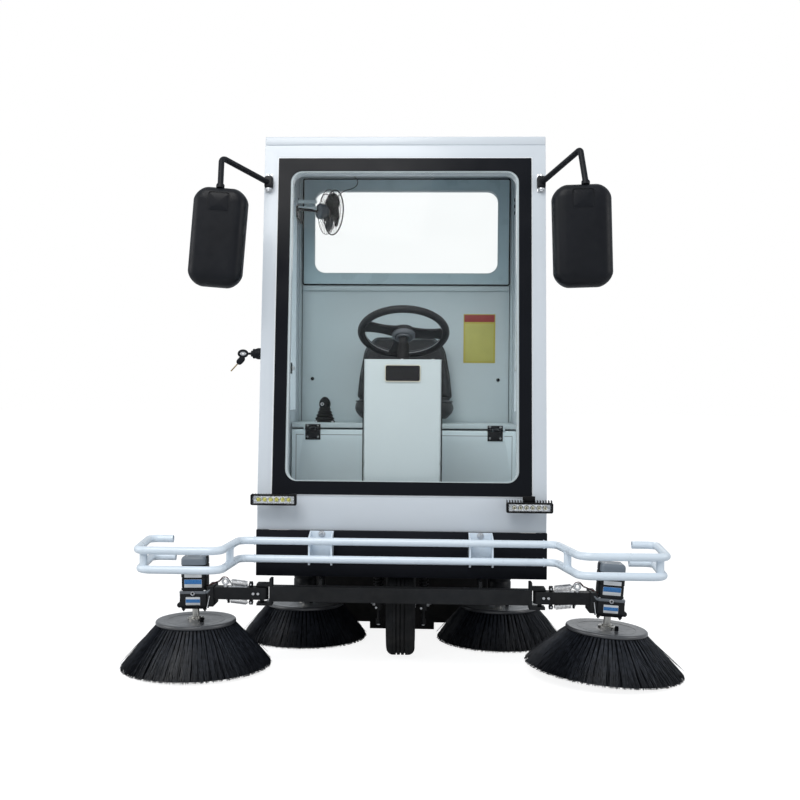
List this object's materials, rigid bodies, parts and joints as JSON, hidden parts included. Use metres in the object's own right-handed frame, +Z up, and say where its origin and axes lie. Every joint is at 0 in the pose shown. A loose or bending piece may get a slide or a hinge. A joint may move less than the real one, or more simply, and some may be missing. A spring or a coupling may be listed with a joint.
{
  "type": "electric floor sweeper",
  "caption": "Ride-on electric floor sweeper with a glazed cab, four rotary side brushes, a roller brush, tube bumper and rear hopper.",
  "frame": {"origin": "on the floor below the middle of the machine's bounding box", "axes": "+Z up, -Y to the machine's front, +X to the right of someone looking at the front"},
  "size_m": [2.0898, 2.4, 2.1019],
  "materials": {
    "white_body": "satin white paint",
    "black_trim": "black moulded plastic",
    "black_frame": "black painted steel",
    "frit": "gloss black window band",
    "glass": "clear window glass",
    "tube": "pale grey-blue powder coat",
    "tyre": "ribbed solid rubber",
    "rim": "grey painted rim",
    "disc": "dark glossy moulded plastic and bristles",
    "motor": "dark painted motor and gearbox",
    "roller": "black bristle roller",
    "rubber": "black rubber",
    "floor_mat": "dark rubber floor",
    "seat": "black vinyl upholstery",
    "lamp_body": "dark die-cast lamp body",
    "lens": "clear lamp lens",
    "tail_lens": "red lamp lens",
    "plate": "dark plate",
    "battery": "battery cases",
    "hopper_metal": "steel hopper"
  },
  "bodies": {
    "machine": {"chassis_frame": "black_frame", "rear_axle": "black_frame", "front_skirt": "black_frame", "front_crossbeam": "black_frame", "inner_motors": "motor", "roller_housing": "black_frame", "rubber_flaps": "rubber", "cab_shell": "white_body", "roof": "white_body", "cab_rear_wall": "white_body", "window_bands": "frit", "cab_glass": "glass", "cab_floor": "floor_mat", "seat_box": "white_body", "battery_pack": "battery", "steering_column": "white_body", "steering_boot": "rubber", "badge_plate": "plate", "bumper": "tube", "mirror_heads": "black_trim", "mirror_arms": "black_trim", "lamp_bars": "lamp_body", "lamp_lenses": "lens", "fan_guard": "black_trim", "fan_lead": "rubber", "rear_body": "white_body", "hopper": "hopper_metal", "tail_lamps": "tail_lens"},
    "steering_fork": {"front_fork": "black_frame"},
    "front_wheel": {"front_tyre": "tyre", "front_rim": "rim"},
    "rear_wheel_left": {"rear_left_tyre": "tyre", "rear_left_rim": "rim"},
    "rear_wheel_right": {"rear_right_tyre": "tyre", "rear_right_rim": "rim"},
    "arm_left": {"brush_arm_left": "black_frame", "outer_left_drive": "motor"},
    "arm_right": {"brush_arm_right": "black_frame", "outer_right_drive": "motor"},
    "outer_brush_left": {"outer_left_brush": "disc"},
    "outer_brush_right": {"outer_right_brush": "disc"},
    "inner_brush_left": {"inner_left_brush": "disc"},
    "inner_brush_right": {"inner_right_brush": "disc"},
    "roller": {"roller_brush": "roller"},
    "left_door": {"door_left": "white_body", "door_left_glass": "glass"},
    "right_door": {"door_right": "white_body", "door_right_glass": "glass"},
    "seat_lid": {"seat_box_lid": "white_body", "seat_base": "black_frame", "seat_cushion": "seat", "seat_backrest": "seat", "lever_boot": "rubber"},
    "hand_wheel": {"steering_wheel": "black_trim"},
    "tailgate": {"rear_door": "white_body"},
    "cover": {"top_cover": "white_body"},
    "fan": {"fan_blades": "black_trim"}
  },
  "joints": [
    {"name": "steering", "type": "hinge", "parent": "machine", "child": "hand_wheel", "pos_m": [0, -0.535, 1.282], "axis": [0, 0.4848, 0.8746], "range_deg": [-270, 270]},
    {"name": "fork_steer", "type": "hinge", "parent": "machine", "child": "steering_fork", "pos_m": [0, -0.621, 0.424], "axis": [0, 0, 1], "range_deg": [-45, 45]},
    {"name": "front_wheel_spin", "type": "hinge", "parent": "steering_fork", "child": "front_wheel", "pos_m": [0, -0.621, 0.205], "axis": [1, 0, 0], "continuous": true},
    {"name": "rear_left_wheel_spin", "type": "hinge", "parent": "machine", "child": "rear_wheel_left", "pos_m": [-0.43, 0.694, 0.205], "axis": [1, 0, 0], "continuous": true},
    {"name": "rear_right_wheel_spin", "type": "hinge", "parent": "machine", "child": "rear_wheel_right", "pos_m": [0.43, 0.694, 0.205], "axis": [1, 0, 0], "continuous": true},
    {"name": "arm_swing_left", "type": "hinge", "parent": "machine", "child": "arm_left", "pos_m": [-0.517, -0.891, 0.261], "axis": [0, 0, -1], "range_deg": [0, 20], "stiffness_Nm_per_rad": 120},
    {"name": "outer_brush_spin_left", "type": "hinge", "parent": "arm_left", "child": "outer_brush_left", "pos_m": [-0.767, -0.885, 0.18088], "axis": [-0.0175, 0, 0.9998], "continuous": true},
    {"name": "arm_swing_right", "type": "hinge", "parent": "machine", "child": "arm_right", "pos_m": [0.517, -0.891, 0.261], "axis": [0, 0, 1], "range_deg": [0, 20], "stiffness_Nm_per_rad": 120},
    {"name": "outer_brush_spin_right", "type": "hinge", "parent": "arm_right", "child": "outer_brush_right", "pos_m": [0.7654, -0.885, 0.17592], "axis": [0.0698, 0, 0.9976], "continuous": true},
    {"name": "inner_brush_spin_left", "type": "hinge", "parent": "machine", "child": "inner_brush_left", "pos_m": [-0.412, -0.336, 0.152], "axis": [0, 0, 1], "continuous": true},
    {"name": "inner_brush_spin_right", "type": "hinge", "parent": "machine", "child": "inner_brush_right", "pos_m": [0.412, -0.336, 0.152], "axis": [0, 0, 1], "continuous": true},
    {"name": "roller_spin", "type": "hinge", "parent": "machine", "child": "roller", "pos_m": [0, 0.124, 0.17], "axis": [1, 0, 0], "continuous": true},
    {"name": "left_door_hinge", "type": "hinge", "parent": "machine", "child": "left_door", "pos_m": [-0.562, 0.1015, 0.545], "axis": [0, 0, -1], "range_deg": [0, 80]},
    {"name": "right_door_hinge", "type": "hinge", "parent": "machine", "child": "right_door", "pos_m": [0.562, 0.1015, 0.545], "axis": [0, 0, 1], "range_deg": [0, 80]},
    {"name": "seat_lid_hinge", "type": "hinge", "parent": "machine", "child": "seat_lid", "pos_m": [0, -0.162, 0.879], "axis": [1, 0, 0], "range_deg": [0, 45]},
    {"name": "tailgate_hinge", "type": "hinge", "parent": "machine", "child": "tailgate", "pos_m": [0, 1.193, 1.3425], "axis": [1, 0, 0], "range_deg": [0, 95]},
    {"name": "cover_hinge", "type": "hinge", "parent": "machine", "child": "cover", "pos_m": [0, 0.265, 1.431], "axis": [1, 0, 0], "range_deg": [0, 70]},
    {"name": "fan_spin", "type": "hinge", "parent": "machine", "child": "fan", "pos_m": [-0.329, -0.006, 1.857], "axis": [0.866, 0.5, 0], "continuous": true}
  ],
  "couplings": [
    {"joint": "steering", "follows": "fork_steer", "ratio": 6}
  ]
}
